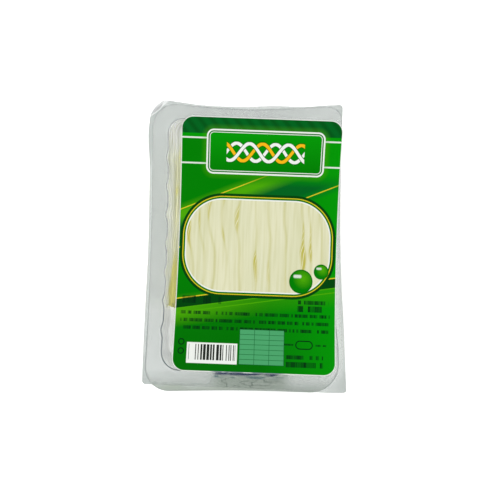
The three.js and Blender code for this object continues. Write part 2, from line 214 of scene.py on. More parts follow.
class Paint(Nodes):
    """One material and its nodes. Places come from the object, or from a vertex attribute, in metres."""

    def __init__(self, name, places=None):
        self.material = bpy.data.materials.new(name)
        super().__init__(self.material)
        self.shader = self.nodes["Principled BSDF"]
        if places:
            self.place = self.node("ShaderNodeAttribute", attribute_name=places).outputs["Vector"]
        else:
            self.place = self.node("ShaderNodeTexCoord").outputs["Object"]
        split = self.node("ShaderNodeSeparateXYZ", {0: self.place})
        self.x, self.y = (Field(self, split.outputs[axis]) for axis in "XY")

    def math(self, operation, *values):
        made = self.node("ShaderNodeMath", operation=operation)
        for socket, value in zip(made.inputs, values):
            self.feed(socket, value)
        return Field(self, made.outputs[0])

    def stored(self, names):
        """The numbers that are stored at each vertex under these names."""
        nodes = [self.node("ShaderNodeAttribute", attribute_name=name) for name in names.split()]
        return [Field(self, node.outputs["Fac"]) for node in nodes]

    def noise(self, scale, detail=2.0, stretch=(1, 1, 1)):
        moved = self.node("ShaderNodeMapping", {"Vector": self.place, "Scale": stretch})
        inputs = {"Vector": moved.outputs[0], "Scale": scale, "Detail": detail}
        return Field(self, self.node("ShaderNodeTexNoise", inputs).outputs["Fac"])

    def ramp(self, field, low, high, to_low=0.0, to_high=1.0):
        inputs = {"Value": field, "From Min": low, "From Max": high, "To Min": to_low, "To Max": to_high}
        return Field(self, self.node("ShaderNodeMapRange", inputs).outputs[0])

    def mix(self, share, first, second):
        """The second colour over the first by a share. Inputs 6 and 7 and output 2 are the colours."""
        inputs = {"Factor": share, 6: first, 7: second}
        return self.node("ShaderNodeMix", inputs, data_type="RGBA").outputs[2]

    def layers(self, tone, *covers):
        """A colour with others over it in turn, each by its share."""
        for share, shade in covers:
            tone = self.mix(share, tone, shade)
        return tone

    def bump(self, height, distance, strength):
        inputs = {"Height": height, "Distance": distance, "Strength": strength}
        self.set(Normal=self.node("ShaderNodeBump", inputs).outputs[0])

    def set(self, **values):
        for key, value in values.items():
            self.feed(self.shader.inputs[key.replace("_", " ")], value)


def colour(red, green, blue):
    """A colour given as sRGB from 0 to 255, as the linear colour that shaders take."""
    linear = [((c / 255 + 0.055) / 1.055) ** 2.4 if c > 10 else c / 255 / 12.92 for c in (red, green, blue)]
    return (*linear, 1.0)


PLASTIC = colour(160, 171, 166)
PLASTIC_PALE = colour(187, 194, 190)
# The painted shade of the dark lines along the tray's bent edges.
BENT_EDGE_SHADE = colour(96, 104, 110)
CLEAR = dict(Roughness=0.14, IOR=1.5)
# The noise that breaks smudged ink up, on the film and on the label's edge.
SMUDGE = dict(scale=380, detail=3, stretch=(0.3, 1, 1))
# Smudges on the film, in metres: the line under the label that they follow and its middle. Then, for
# each, how far it lies below the line, and where it fades out and in on both sides of that.
INK_LINE = dict(level=-0.0868, slope=-0.0152, middle=0.0032)
INK_ROWS = ((-0.0001, 0.0016, 0.0006), (0.0021, 0.0014, 0.0005), (0.0062, 0.0034, 0.0026))


def tray_material():
    """Clear plastic, denser on the flat flange than on the drawn walls, with painted shade along its bent
    edges, on its end walls and on its drooping bottom flange.
    """
    paint = Paint("clear_tray")
    flange, line, foot, end_wall = paint.stored("flange line foot end_wall")
    haze = paint.noise(45, detail=3, stretch=(1, 0.25, 1))
    edge = paint.node("ShaderNodeLayerWeight", {"Blend": 0.35})
    facing = Field(paint, edge.outputs["Facing"])
    # Painted shade: the end walls are made denser, so they show darker.
    solid = paint.ramp(facing, 0.3, 0.97, 0.07, 0.5) + end_wall * 0.1 + (haze - 0.5) * 0.06
    # Painted shade on the drooping bottom flange: denser here, and tinted in the tone below.
    solid = solid + flange * 0.27 + foot * 0.36
    tone = paint.layers(PLASTIC, (haze, PLASTIC_PALE), (foot, colour(172, 184, 170)), (line, BENT_EDGE_SHADE))
    # Painted shade: the bent edges show as dark lines, darker towards the bottom.
    solid = paint.math("MAXIMUM", solid, line * paint.ramp(paint.y, -0.03, -0.065, 0.8, 1.7))
    paint.set(Base_Color=tone, Alpha=solid, **CLEAR)
    paint.bump(paint.noise(160, detail=2, stretch=(1, 0.2, 1)), 0.0002, 0.15)
    return paint.material


def ink_marks(paint):
    """Two rows of smudged ink along the label's bottom edge, and a few thin scratches below them."""
    smudge = paint.noise(**SMUDGE)
    wander = paint.noise(240, detail=2, stretch=(0.35, 1, 1))
    above = paint.y - paint.x * INK_LINE["slope"] - INK_LINE["level"]
    span = paint.ramp(abs(paint.x - INK_LINE["middle"]), 0.0255, 0.0225)
    ink, stain, scratched = (span * paint.ramp(abs(above + row[0]), *row[1:]) for row in INK_ROWS)
    scratched = scratched * paint.ramp(abs(wander - 0.5), 0.03, 0.008)
    return ink * paint.ramp(smudge, 0.4, 0.52), stain * paint.ramp(smudge, 0.56, 0.46), scratched * 0.7


def film_material():
    """Clear film, hazier past the tray's mouth, with painted highlights along its crease and its rough top
    edge, and painted shade where no cheese lies under it and over the drooping bottom flange.
    """
    paint = Paint("lid_film")
    x, y = paint.x, paint.y
    sealed, outer, free, foot = paint.stored("sealed outer free foot")
    rough, fold, flap = paint.stored("rough fold flap")
    haze = paint.noise(60, detail=3, stretch=(1, 0.4, 1))
    speckle = paint.ramp(paint.noise(700, detail=2, stretch=(0.5, 1, 1)), 0.51, 0.58)
    streaks = paint.noise(330, detail=2, stretch=(0.1, 1, 1))
    # Painted highlights: specks along the top edge and a line along the crease.
    painted_glints = paint.math("MAXIMUM", rough * (speckle * 0.55 + 0.4), fold)
    ink, stain, scratches = ink_marks(paint)
    # The lower part of the flange is paler.
    lower = paint.ramp(y + (haze - 0.5) * 0.03, -0.034, -0.048) * paint.ramp(y, -0.094, -0.084)
    # Past the rim it is greyer at the top, from further down at the right, and at the bottom.
    end = paint.ramp(y, -0.01, 0.055) * paint.ramp(x, 0.0, 0.05, 0, 1.3)
    end = end + paint.ramp(y, 0.05, 0.07) * paint.ramp(x, 0, -0.05, 0, 0.75)
    end = end + paint.ramp(y, -0.072, -0.088) * paint.ramp(x, 0.06, -0.05, 0.35, 0.7)
    # Inside the mouth a painted shade shows where no cheese lies under it.
    bare = paint.ramp(y, -0.036, -0.05) * paint.ramp(y, -0.08, -0.07) * (1 - sealed)
    solid = sealed * (0.17 - lower * (1 - outer) * 0.12) + bare * 0.09
    solid = solid + outer * (end * 0.19 + paint.ramp(x, 0.06, -0.06, 0.15, 0.21)) + free * 0.13
    # Painted shade over the drooping bottom flange, in streaks: denser here, and darker and greener in the
    # tone below.
    solid = solid + foot * streaks * 0.24 + flap * 0.2 + (haze - 0.5) * 0.04 + 0.04
    solid = paint.math("MAXIMUM", solid, painted_glints * 0.9)
    tone = paint.layers(
        PLASTIC,
        (haze, PLASTIC_PALE),
        (foot * 0.9, paint.mix(streaks, colour(134, 150, 136), colour(168, 181, 168))),
        (bare * 0.6, colour(140, 146, 142)),
        (flap, colour(184, 187, 188)),
        (painted_glints, colour(240, 243, 242)),
        (stain, colour(72, 112, 116)),
        (ink, colour(46, 60, 96)),
        (scratches, colour(88, 100, 92)),
    )
    solid = paint.math("MAXIMUM", solid, paint.math("MAXIMUM", ink * 0.6, stain * 0.4 + scratches))
    paint.set(Base_Color=tone, Alpha=solid, **CLEAR)
    paint.bump(paint.noise(70, detail=2, stretch=(1, 0.4, 1)), 0.0002, 0.5)
    return paint.material


def cheese_material():
    """Moist cream strings with fine fibres along them, yellower in patches, with painted light making them
    palest at the top and a painted yellow shade in places.
    """
    paint = Paint("cheese_strings")
    fibres = paint.noise(900, detail=4, stretch=(1, 0.06, 1))
    patches = paint.noise(70, detail=2, stretch=(1, 0.4, 1))
    tone = paint.layers(
        colour(246, 251, 230),
        (patches, colour(238, 243, 202)),
        # Painted light: the strings are palest at the top end.
        (paint.ramp(paint.y, 0.06, 0.08), colour(251, 254, 240)),
        (paint.ramp(fibres, 0.35, 0.75, 0, 0.35), colour(234, 232, 178)),
        # A painted yellow shade, in a wedge, a band and flecks of the left skein.
        (paint.stored("ripe")[0] * 0.9, colour(233, 226, 86)),
    )
    paint.set(Base_Color=tone, Roughness=paint.ramp(fibres, 0.3, 0.7, 0.35, 0.55), IOR=1.4)
    paint.set(Subsurface_Weight=0.5, Subsurface_Radius=(0.003, 0.003, 0.002), Subsurface_Scale=1.0)
    paint.bump(fibres, 0.0004, 0.35)
    return paint.material


# ---- the label's print ----

GREEN = dict(
    deep=colour(1, 96, 30), dark=colour(2, 66, 12), shade=colour(2, 106, 4),
    field=colour(1, 122, 2), bright=colour(2, 146, 4), lime=colour(72, 162, 6),
)
WHITE = colour(232, 236, 230)
CREAM = colour(220, 219, 184)
YELLOW = colour(214, 196, 40)
AMBER = colour(240, 178, 24)
INK = colour(2, 40, 14)
HALF_WIDTH, HALF_LENGTH = LABEL["width"] / 2, LABEL["length"] / 2
# The parts of the print, in millimetres from the label's middle.
PANEL = dict(centre=(3, HALF_LENGTH - 24), half=(41, 15.5), corner=5)
MOTIF = dict(half_length=27, period=27, height=6)
WINDOW = dict(centre=(0, -1), half=(50, 31), corner=25)
BUTTONS = ((31, -24, 8.2), (45, -17, 5.2))
BAR_BOX = dict(centre=(-28.8, -74.6), half=(17.2, 7.0), corner=0.3)
BARS = dict(centre=(-28.8, -74.0), half=(15.9, 5.3), corner=0.1)
TABLE = dict(centre=(5.0, -69.6), half=(15.2, 11.8), corner=0.2)
RINGS = (((34, -67), (6, 3)), ((-50, -67.4), (2.2, 2.2)), ((-50, -73.6), (2.2, 2.2)))
# Rows of dashes: the middle, the half size, a seed and the length of a dash.
DASHES = (
    ((-37.5, -38.6), (13.5, 2.5), 77, 5.2),
    ((39, -38.2), (11.5, 1.3), 5, 2.1),
    ((37.5, -42.6), (8.5, 2.0), 23, 3.3),
    *(((0, -47.4 - 5.1 * row), (51.5, 1.1), 40 * row, 1.3) for row in range(3)),
    ((23, -67), (3.6, 0.6), 210, 1.3),
    ((45.5, -67), (3.6, 0.6), 220, 1.3),
    ((34.3, -75.4), (12.6, 1.3), 260, 2.1),
    ((34.3, -80.4), (12.6, 1.8), 300, 2.8),
)


class Page(Paint):
    """A print built up in layers. X and Y are millimetres from the label's middle."""

    def __init__(self, name):
        super().__init__(name, "print_place")
        self.x, self.y = self.x / MM, self.y / MM
        self.tone = GREEN["field"]

    def lay(self, mask, tone):
        self.tone = self.mix(mask, self.tone, tone)

    def inside(self, distance, softness=0.25):
        return self.ramp(distance, softness / 2, -softness / 2)

    def box(self, centre, half, corner):
        """The distance outside a rounded rectangle."""
        dx = abs(self.x - centre[0]) - (half[0] - corner)
        dy = abs(self.y - centre[1]) - (half[1] - corner)
        ox, oy = (self.math("MAXIMUM", d, 0.0) for d in (dx, dy))
        outer = self.math("SQRT", ox * ox + oy * oy)
        return outer + self.both(self.math("MAXIMUM", dx, dy), 0.0) - corner

    def band(self, across, middle, half, softness=0.25):
        return self.inside(abs(across - middle) - half, softness)

    def both(self, first, second):
        return self.math("MINIMUM", first, second)

    def cells(self, along, size, seed):
        """One random number for each step of size along the page."""
        step = self.math("FLOOR", along / size) + seed
        chance = self.node("ShaderNodeTexWhiteNoise", {"W": step}, noise_dimensions="1D")
        return Field(self, chance.outputs["Value"])

    def dashes(self, centre, half, seed, length):
        """A row of plain dashes in the place of small words, one in five of them left out."""
        on = self.math("GREATER_THAN", self.cells(self.x, length, seed), 0.2)
        stems = self.cells(self.x, half[1] * 0.42, seed + 91) * 0.55 + 0.4
        self.lay(self.both(self.inside(self.box(centre, half, 0.1)), on * stems), INK)


def print_ground(page):
    """Greens that darken to the bottom and brighten to the right, with slanting bands and lines."""
    x, y = page.x, page.y
    cloud = (page.noise(14, detail=1) - 0.5) * 30
    page.lay(page.ramp(y + cloud, -20, -80), GREEN["shade"])
    page.lay(page.ramp(x + y * 0.05 + cloud, 0, 52, 0, 0.92), GREEN["bright"])
    slant = y - x * 0.42
    for middle, half, shade, softness in ((30, 11, "deep", 9), (41.5, 5, "lime", 7)):
        page.lay(page.band(slant, middle, half, softness), GREEN[shade])
    for middle in (19.5, 45.5):
        page.lay(page.band(slant, middle, 0.35), YELLOW)
    low_slant = y - x * 0.16
    page.lay(page.band(low_slant, -38, 7, 9) * page.ramp(x, 10, -50, 0.25, 0.9), GREEN["lime"])
    for middle, half, shade in ((-33, 3.4, "dark"), (-36.4, 0.35, "lime"), (-39.4, 0.35, "lime")):
        page.lay(page.band(low_slant, middle, half), GREEN[shade])
    page.lay(page.band(low_slant, -29.6, 0.35), YELLOW)


def print_head(page):
    """A dark band over a bright line, two white stripes, and a panel with a plaited motif."""
    x, drop = page.x, HALF_LENGTH - page.y
    head, band = page.inside(drop - 42, 10), page.inside(drop - 11.8)
    page.lay(head, GREEN["field"])
    page.lay(head * page.ramp(x, -20, 55), GREEN["bright"])
    page.lay(page.inside(drop - 14.8), GREEN["bright"])
    page.lay(band, GREEN["deep"])
    pins = page.math("PINGPONG", x + page.y * 0.8, 4.2)
    page.lay(page.both(band, page.inside(pins - 1.8, 2.5)) * 0.5, GREEN["dark"])
    for stripe in (14.9, 32.5):
        page.lay(page.band(drop, stripe, 0.54) * 0.88, WHITE)

    panel = page.box(**PANEL)
    glow = page.both(page.inside(panel - 2.2, 3.4), page.inside(0 - panel))
    page.lay(glow * 0.3, GREEN["lime"])
    for grow, shade in ((0, WHITE), (1.1, GREEN["shade"]), (2, WHITE), (2.5, GREEN["field"])):
        page.lay(page.inside(panel + grow), shade)
    across, up = x - PANEL["centre"][0], page.y - PANEL["centre"][1]
    page.lay(page.inside(panel + 2.5) * page.ramp(up, -12, 12), GREEN["bright"])
    within = page.inside(abs(across) - MOTIF["half_length"])
    for strand, shade in enumerate((WHITE, AMBER, WHITE)):
        turn = across * (2 * math.pi / MOTIF["period"]) + strand * 2 * math.pi / 3
        slope = abs(page.math("COSINE", turn))
        line = abs(up - page.math("SINE", turn) * MOTIF["height"]) - (slope * 0.75 + 1.0)
        page.lay(page.both(page.inside(line - 0.7), within), GREEN["shade"])
        page.lay(page.both(page.inside(line), within), shade)


def print_window(page):
    """A cream field of upright strands inside white, green and yellow outlines."""
    x, y = page.x, page.y
    window = page.box(**WINDOW)
    for grow, shade in ((4.4, GREEN["dark"]), (2.6, YELLOW), (2.0, GREEN["shade"]), (0.9, WHITE)):
        page.lay(page.inside(window - grow), shade)
    sway = page.math("SINE", y / 13) * 1.6
    waver = (page.noise(26, detail=1) - 0.5) * 9
    inputs = {"W": (x + waver + sway) / 9.5, "Scale": 1.0}
    settings = dict(voronoi_dimensions="1D", feature="DISTANCE_TO_EDGE")
    from_edge = Field(page, page.node("ShaderNodeTexVoronoi", inputs, **settings).outputs["Distance"])
    opening = page.ramp(page.noise(48, detail=1, stretch=(1, 0.5, 1)), 0.5, 0.7, -0.1, 0.24)
    gap = page.ramp(from_edge - opening, 0.05, -0.14)
    hairs = page.math("PINGPONG", x * 1.1 + waver * 2.6 - y * 0.12, 1.1)
    threads = page.noise(520, detail=2, stretch=(1, 0.04, 1))
    broad = page.noise(60, detail=2, stretch=(1, 0.3, 1))
    inside = page.inside(window)
    page.lay(inside, CREAM)
    for share, shade in (
        (page.ramp(broad, 0.35, 0.65, 0, 0.7), colour(208, 209, 170)),
        (page.ramp(from_edge, 0.16, 0.02, 0, 0.6), colour(196, 194, 136)),
        (gap * 0.9, colour(182, 174, 60)),
        (gap * page.ramp(hairs, 0.3, 0.12), colour(226, 224, 188)),
        (page.ramp(threads, 0.45, 0.75, 0, 0.35), colour(236, 236, 214)),
        (page.ramp(threads, 0.48, 0.25, 0, 0.3), colour(190, 188, 130)),
    ):
        page.lay(inside * share, shade)


def print_buttons(page):
    """Two plain glossy discs over the window's lower right edge."""
    for cx, cy, radius in BUTTONS:
        disc = page.box((cx, cy), (radius, radius), radius)
        wide, high = radius * 0.9, radius * 0.13
        light = page.box((cx + radius * 0.2, cy + radius * 0.25), (wide, wide), wide)
        gleam = page.box((cx - radius * 0.3, cy + radius * 0.42), (radius * 0.34, high), high)
        face = page.inside(disc + 0.8)
        page.lay(page.inside(disc), GREEN["shade"])
        page.lay(face, GREEN["field"])
        page.lay(page.both(face, page.ramp(light, 0, -radius * 0.8)), GREEN["lime"])
        page.lay(page.inside(gleam, 0.8) * 0.8, WHITE)


def print_foot(page):
    """Rows of dashes, plain rings, a box of upright bars and an empty table."""
    for row in DASHES:
        page.dashes(*row)
    for centre, half in RINGS:
        ring = page.box(centre, half, min(half))
        page.lay(page.both(page.inside(ring), page.inside(0 - ring - 0.7)), INK)
    page.lay(page.inside(page.box(**BAR_BOX)), WHITE)
    ink = page.math("GREATER_THAN", page.cells(page.x, 0.6, 11), 0.5)
    page.lay(page.both(ink, page.inside(page.box(**BARS))), colour(38, 42, 38))
    table = page.box(**TABLE)
    page.lay(page.inside(table - 0.2), colour(6, 84, 36))
    cells = page.inside(table)
    for along, axis, count in ((page.y, 1, 7), (page.x, 0, 3)):
        middle, half = TABLE["centre"][axis], TABLE["half"][axis]
        size = 2 * half / count
        from_first = page.math("PINGPONG", along - middle + half, size)
        cells = page.both(cells, page.band(from_first, size / 2, size / 2 - 0.14))
    page.lay(cells, colour(74, 160, 104))


def label_material():
    page = Page("label_print")
    print_ground(page)
    print_head(page)
    print_window(page)
    print_buttons(page)
    print_foot(page)
    edge = page.box((0, 0), (HALF_WIDTH, HALF_LENGTH), LABEL["corner"])
    page.lay(page.inside(0 - edge - 0.5), WHITE)
    # The smudged ink also covers the edge at the bottom.
    smudge = page.noise(**SMUDGE)
    span = page.ramp(abs(page.x + 4), 25.5, 22.5)
    at_edge = page.ramp(page.y, 1 - HALF_LENGTH, 0.4 - HALF_LENGTH)
    page.lay(span * at_edge * page.ramp(smudge, 0.38, 0.5) * 0.7, colour(52, 72, 100))
    grain = page.noise(35, detail=1)
    page.set(Base_Color=page.tone, IOR=1.45, Specular_IOR_Level=0.16)
    page.set(Roughness=page.ramp(grain, 0.3, 0.7, 0.2, 0.27))
    page.bump(page.noise(30, detail=1), 0.0001, 0.3)
    return page.material


# ---- the tray ----


def lid_level(y):
    """The height of the lid's plane. The wide flange at the bottom end droops to its edge."""
    past = np.maximum(0, MOUTH["bottom"] - np.asarray(y, float)) / FLANGE["bottom"]
    return TRAY["height"] - FLANGE["droop"] * np.minimum(past * past, 1.3)


def flute_bulge(place):
    nearest = np.clip(np.round(place / FLUTE["pitch"]), -(FLUTE["count"] // 2), FLUTE["count"] // 2)
    across = np.minimum(1, np.abs(place - nearest * FLUTE["pitch"]) / FLUTE["half_width"])
    return FLUTE["depth"] * np.cos(across * math.pi / 2) ** 2


def side_inset(place, bow=1.0):
    """How far a long side is drawn in, at a place from -1 at its bottom end to 1 at its top end."""
    return BOW["side"] * bow * np.maximum(0, 1 - place * place) + BOW["taper"] * place


def end_inset(across, place, bow=1.0):
    """How far an end is drawn in, from -1 to 1 across it. Its place is positive for the top end."""
    return np.where(place > 0, BOW["top"], BOW["bottom"]) * bow * np.maximum(0, 1 - across * across) ** 2


def rim_pull(across, place):
    """How far the rim's side and its end are drawn in further than the cavity's."""
    fade = smooth_step((RIM_PULL["far"] - np.abs(place)) / (RIM_PULL["far"] - RIM_PULL["near"]))
    return RIM_PULL["right"] * fade * (across > 0), RIM_PULL["skew"] * across * (place < 0)


SIDE_STEPS, CORNER_STEPS, END_STEPS = 200, 14, 40


def tray_ring(half_width, top, bottom, corners, bow=1.0, flute=0.0, is_rim=False):
    """A rounded rectangle whose sides are drawn in, as X and Y, anticlockwise from above."""
    middle, half_length = (top + bottom) / 2, (top - bottom) / 2
    top_right, top_left, bottom_left, bottom_right = corners
    turn = np.linspace(0, math.pi / 2, CORNER_STEPS + 1)[1:-1]

    def arc(radius, right, up, quarter):
        angle = quarter * math.pi / 2 + turn
        cx, cy = right * (half_width - radius), middle + up * (half_length - radius)
        return np.stack([cx + radius * np.cos(angle), cy + radius * np.sin(angle)], 1)

    def long_side(right, low_radius, high_radius):
        place = np.linspace(low_radius - half_length, half_length - high_radius, SIDE_STEPS)
        return np.stack([right * (half_width + flute * flute_bulge(place)), middle + place], 1)

    def end(level, left_radius, right_radius):
        across = np.linspace(left_radius - half_width, half_width - right_radius, END_STEPS)
        return np.stack([across, np.full(END_STEPS, level)], 1)

    points = np.concatenate([
        long_side(1, bottom_right, top_right),
        arc(top_right, 1, 1, 0),
        end(top, top_left, top_right)[::-1],
        arc(top_left, -1, 1, 1),
        long_side(-1, bottom_left, top_left)[::-1],
        arc(bottom_left, -1, -1, 2),
        end(bottom, bottom_left, bottom_right),
        arc(bottom_right, 1, -1, 3),
    ])
    across, place = points[:, 0] / half_width, (points[:, 1] - middle) / half_length
    pulled, skewed = rim_pull(across, place) if is_rim else (0, 0)
    points[:, 0] -= (side_inset(place, bow) + pulled) * across
    points[:, 1] -= (end_inset(across, place, bow) + skewed) * place
    return points


def wall_ring(depth, round_in=0.0, slope=0.0, outwards=0.0):
    """A ring of the wall, at a depth below the rim, moved in and sloped where the fillet turns."""
    share = depth / INNER_DEPTH
    sideways = outwards * math.cos(slope)
    side = TRAY["side_lean"] * share + round_in - sideways
    end = TRAY["end_lean"] * share + round_in - sideways
    corners = np.array(TRAY["mouth_corners"]) * (1 - share) + TRAY["floor_corner"] * share
    flat = tray_ring(
        MOUTH["half_width"] - side,
        MOUTH["top"] - end,
        MOUTH["bottom"] + end,
        corners - round_in + sideways,
        bow=1 - share / 2,
        flute=math.cos(slope) * (1 - 0.5 * share),
    )
    z = TRAY["height"] - depth - outwards * math.sin(slope)
    return np.column_stack([flat, np.full(len(flat), z)])


# Half width, top, bottom and corners of the rim and of the cavity's mouth.
RIM_OUTLINE = RIM["width"] / 2, RIM["length"] / 2, -RIM["length"] / 2, RIM["corners"]
MOUTH_OUTLINE = MOUTH["half_width"], MOUTH["top"], MOUTH["bottom"], TRAY["mouth_corners"]


def flange_ring(outline, outwards, drop, **kind):
    """An outline offset outwards, at a drop below the lid's plane."""
    half_width, top, bottom, corners = outline
    corners = np.array(corners) + outwards
    flat = tray_ring(half_width + outwards, top + outwards, bottom - outwards, corners, **kind)
    return np.column_stack([flat, lid_level(flat[:, 1]) - drop])


def rim_ring(inset, drop):
    return flange_ring(RIM_OUTLINE, -inset, drop, is_rim=True)


def mouth_ring(outwards, drop):
    return flange_ring(MOUTH_OUTLINE, outwards, drop, flute=1.0)


def tray_middle():
    """Where the tray's own origin lies in the frame: its box's middle, less that of the rim as drawn."""
    rim = rim_ring(0, 0)
    low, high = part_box("tray")
    x, y, _ = (rim.min(0) + rim.max(0)) / 2 * MM
    return Vector(((low.x + high.x) / 2 - x, (low.y + high.y) / 2 - y, 0))


TRAY_MIDDLE = tray_middle()


def wall_stations():
    """Depths down the wall and then round the fillet to the floor."""
    top = INNER_DEPTH - TRAY["fillet"]
    stations = [dict(depth=d) for d in np.linspace(0.9, top, 8)[:-1]]
    for angle in np.linspace(0, math.pi / 2, 9):
        stations.append(dict(
            depth=top + TRAY["fillet"] * math.sin(angle),
            round_in=TRAY["fillet"] * (1 - math.cos(angle)),
            slope=angle,
        ))
    return stations


def between(first, last, steps):
    return [first + (last - first) * i / steps for i in range(1, steps)]


def store(piece, name, values):
    """One number for each vertex, which the piece's material reads."""
    attribute = piece.data.attributes.new(name, "FLOAT", "POINT")
    attribute.data.foreach_set("value", np.asarray(values, float).ravel())


def make_tray():
    stations = wall_stations()
    wall = TRAY["wall"]
    under_mouth = mouth_ring(wall, wall + 0.3)
    under_rim = rim_ring(wall, wall)
    inner_rim = rim_ring(0.9, 0)
    outer_mouth = mouth_ring(1.2, 0)
    # Each ring with how much it belongs to the flange, and how much painted shade it takes as a dark line
    # along a bent edge.
    rings = [(wall_ring(**s, outwards=wall), 0, 0) for s in reversed(stations)]
    rings += [(under_mouth, 0.5, 0)]
    rings += [(ring, 1, 0) for ring in between(under_mouth, under_rim, 5)]
    rings += [
        (under_rim, 1, 0.3),
        (rim_ring(wall, RIM["lip"]), 1, 0.3),
        (rim_ring(wall / 2, RIM["lip"] + 0.1), 1, 0.3),
        (rim_ring(0, RIM["lip"]), 1, 0.3),
        (rim_ring(0, 0.3), 1, 0.55),
        (rim_ring(0.09, 0.09), 1, 0.55),
        (rim_ring(0.3, 0), 1, 0.55),
        (rim_ring(0.6, 0), 1, 0.15),
        (inner_rim, 1, 0.05),
    ]
    rings += [(ring, 1, 0) for ring in between(inner_rim, outer_mouth, 5)]
    rings += [
        (outer_mouth, 1, 0),
        (mouth_ring(0.8, 0), 1, 0.3),
        (mouth_ring(0.5, 0), 1, 1),
        (mouth_ring(0.2, 0.12), 0.5, 1),
        (mouth_ring(0.04, 0.4), 0, 0.7),
    ]
    rings += [(wall_ring(**s), 0, 0) for s in stations]
    count = len(rings[0][0])
    points = np.concatenate([ring for ring, _, _ in rings])
    faces = loft_faces(len(rings), count)
    piece = make_object("clear_tray", pack_points(points), faces, tray_material())
    x, y, z = points.T
    low = np.repeat([flange == 0 for _, flange, _ in rings], count)
    # Painted shade on the end walls.
    store(piece, "end_wall", low * smooth_step((np.abs(y) - 69) / 4))
    # Painted shade on the drooping bottom flange, bare or under the film.
    foot = np.maximum(foot_shade(x, y), bare_foot(x, y))
    store(piece, "foot", foot * (z > TRAY["height"] - 4))
    store(piece, "flange", np.repeat([flange for _, flange, _ in rings], count))
    store(piece, "line", np.repeat([line for _, _, line in rings], count))
    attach(piece, "root")
    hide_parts("tray")


# ---- the lid film and the label ----


def corner_inset(distance, radius):
    within = np.maximum(0, radius - distance)
    return radius - np.sqrt(np.maximum(0, radius * radius - within * within))


def along_edge(length, near, count, fine):
    """Distances along an edge: fine steps over the stretch near both ends, even ones between."""
    start = near * (1 - np.cos(np.linspace(0, math.pi / 2, fine)))
    middle = np.linspace(near, length - near, count)
    return np.concatenate([start[:-1], middle, (length - start)[::-1][1:]])


def film_outline(across, up, left, right):
    """Points of the flat film, from their shares across and up it and its sides' insets."""
    low, high = np.array(FILM["bottom"]), np.array(FILM["top"])
    width = low[1, 0] - low[0, 0]
    share = left / width + across * (1 - (left + right) / width)
    share, rise = share[..., None], up[..., None]
    point = (low[0] * (1 - share) + low[1] * share) * (1 - rise)
    point = point + (high[0] * (1 - share) + high[1] * share) * rise
    point[..., 0] -= 4 * up * (1 - up) * FILM["bow_right"] * across
    point[..., 1] -= 4 * across * (1 - across) * FILM["bow_top"] * up
    point[..., 0] += slack("left", point[..., 1]) * (1 - across) ** 8
    point[..., 0] -= slack("right", point[..., 1]) * across ** 8
    point[..., 1] += slack("bottom", point[..., 0]) * (1 - up) ** 8
    point[..., 1] -= slack("top", point[..., 0]) * up ** 8
    return point


def slack(edge, along):
    return sum(depth * np.exp(-(((along - middle) / reach) ** 2)) for depth, middle, reach in SLACK[edge])


def outside(x, y, half_width, top, bottom, corners, flute=0.0, is_rim=False):
    """How far a point lies outside one of the tray's rings in millimetres, or inside as a minus."""
    y, half_length = y - (top + bottom) / 2, (top - bottom) / 2
    top_right, top_left, bottom_left, bottom_right = corners
    right, left = np.where(y > 0, top_right, bottom_right), np.where(y > 0, top_left, bottom_left)
    corner = np.where(x > 0, right, left)
    across, place = np.clip(x / half_width, -1, 1), np.clip(y / half_length, -1, 1)
    pulled, skewed = rim_pull(across, place) if is_rim else (0, 0)
    side = half_width - side_inset(place) - pulled + flute * flute_bulge(y)
    end = half_length - end_inset(across, place) - skewed
    dx, dy = np.abs(x) - side + corner, np.abs(y) - end + corner
    distance = np.hypot(np.maximum(0, dx), np.maximum(0, dy)) + np.minimum(0, np.maximum(dx, dy))
    return distance - corner


def past_rim(x, y):
    return outside(x, y, *RIM_OUTLINE, is_rim=True)


def past_mouth(x, y):
    return outside(x, y, *MOUTH_OUTLINE, flute=1.0)


def film_height(x, y):
    """The film's fine relief over the tray: taut in the middle, creased on the flange, free outside."""
    free = np.clip(past_rim(x, y) / 2, 0, 1)
    wave = 0.45 * np.sin(x / 7 + y / 11) * free
    ripple = 0.18 * np.sin(x * 0.8 + 2 * np.sin(x * 0.13)) * smooth_step((y - 94.5) / 3)
    flank = smooth_step((np.abs(x) - 52) / 4) * (1 - smooth_step((np.abs(y) - 70) / 15))
    pulls = 0.05 * np.sin(y * 0.9 + 1.4 * np.sin(y * 0.17)) * flank
    slant = (x - 45) * 0.8 + (y - 92)
    crease = 0.14 * np.exp(-((slant / 1.1) ** 2)) * np.exp(-(((x - 46) / 8) ** 2 + ((y - 91) / 6) ** 2))
    at_foot = smooth_step((-84 - y) / 3) * smooth_step((40 - x) / 15)
    foot = 0.12 * np.sin(y * 1.5 + 0.5 * np.sin(x * 0.1)) * at_foot
    return wave + ripple + pulls + crease + foot


def film_level(x, y):
    """The height of the film's upper side, where its corner isn't bent."""
    return lid_level(y) + FILM_RISE + film_height(x, y)


def foot_shade(x, y):
    """How much painted shade the drooping bottom flange takes: most in its middle, and elsewhere by its
    outer edge.
    """
    past = MOUTH["bottom"] - y
    middle = 1 - smooth_step((np.abs(x - 5.6) - 18) / 13)
    outwards = smooth_step(past / 15) ** 2
    return smooth_step(past / 1.5) * (0.85 * middle + (1 - middle) * (0.05 + 0.58 * outwards))


def bare_foot(x, y):
    """Where the tray's bottom edge lies bare, past the film's."""
    (left, left_end), (right, right_end) = FILM["bottom"]
    edge = left_end + (x - left) * (right_end - left_end) / (right - left)
    return smooth_step((edge - y) / 0.5 + 0.5)


OUTWARD = np.array([-1, 1]) / math.sqrt(2)


def past_crease(x, y):
    """How far a point of the flat film lies beyond the crease across its top left corner."""
    crease = np.dot(FILM["top"][0], OUTWARD) - CREASE["cut"] / math.sqrt(2)
    return x * OUTWARD[0] + y * OUTWARD[1] - crease


